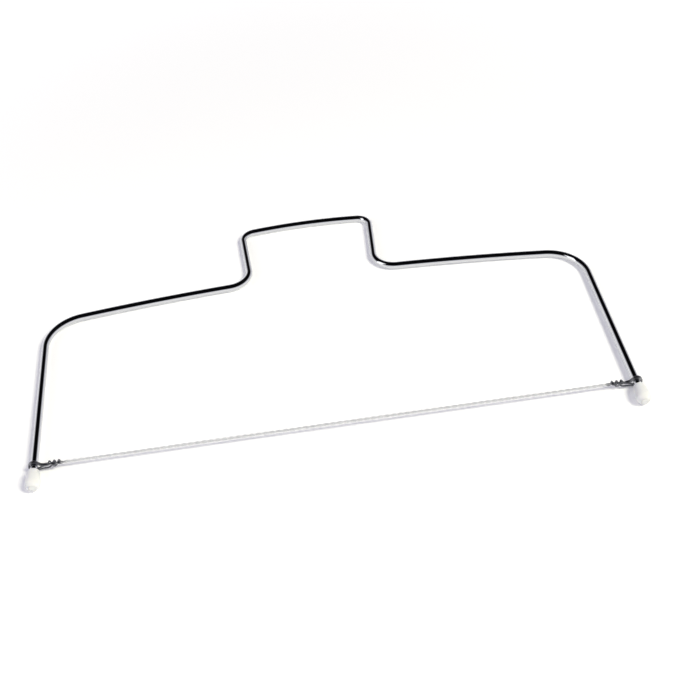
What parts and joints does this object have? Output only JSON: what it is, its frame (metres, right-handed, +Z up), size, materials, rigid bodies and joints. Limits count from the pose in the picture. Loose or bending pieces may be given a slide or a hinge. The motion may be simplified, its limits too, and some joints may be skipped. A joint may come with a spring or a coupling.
{
  "type": "cake leveler",
  "caption": "Wide bent steel rod frame with a raised square handle, moulded feet and a twisted cutting wire strung between notched legs, for slicing cake layers level.",
  "frame": {"origin": "on the worktop, below the middle of the leveler's overall box, as it lies flat", "axes": "+X along the cutting wire towards the right leg, +Y from the feet towards the handle, +Z up from the worktop it lies on"},
  "size_m": [0.3138, 0.1876, 0.0078],
  "materials": {
    "chromed_rod": "polished bright plating",
    "foot_plastic": "smooth white moulding",
    "wire_steel": "bright drawn stainless strand"
  },
  "bodies": {
    "frame": {"frame_rod": "chromed_rod", "left_foot": "foot_plastic", "right_foot": "foot_plastic"},
    "wire": {"cutting_wire": "wire_steel", "left_strand_one": "wire_steel", "left_strand_two": "wire_steel", "right_strand_one": "wire_steel", "right_strand_two": "wire_steel"}
  },
  "joints": [
    {"name": "cutting_height", "type": "slide", "parent": "frame", "child": "wire", "axis": [0, 0.9999, -0.0104], "range_m": [0, 0.03]}
  ]
}
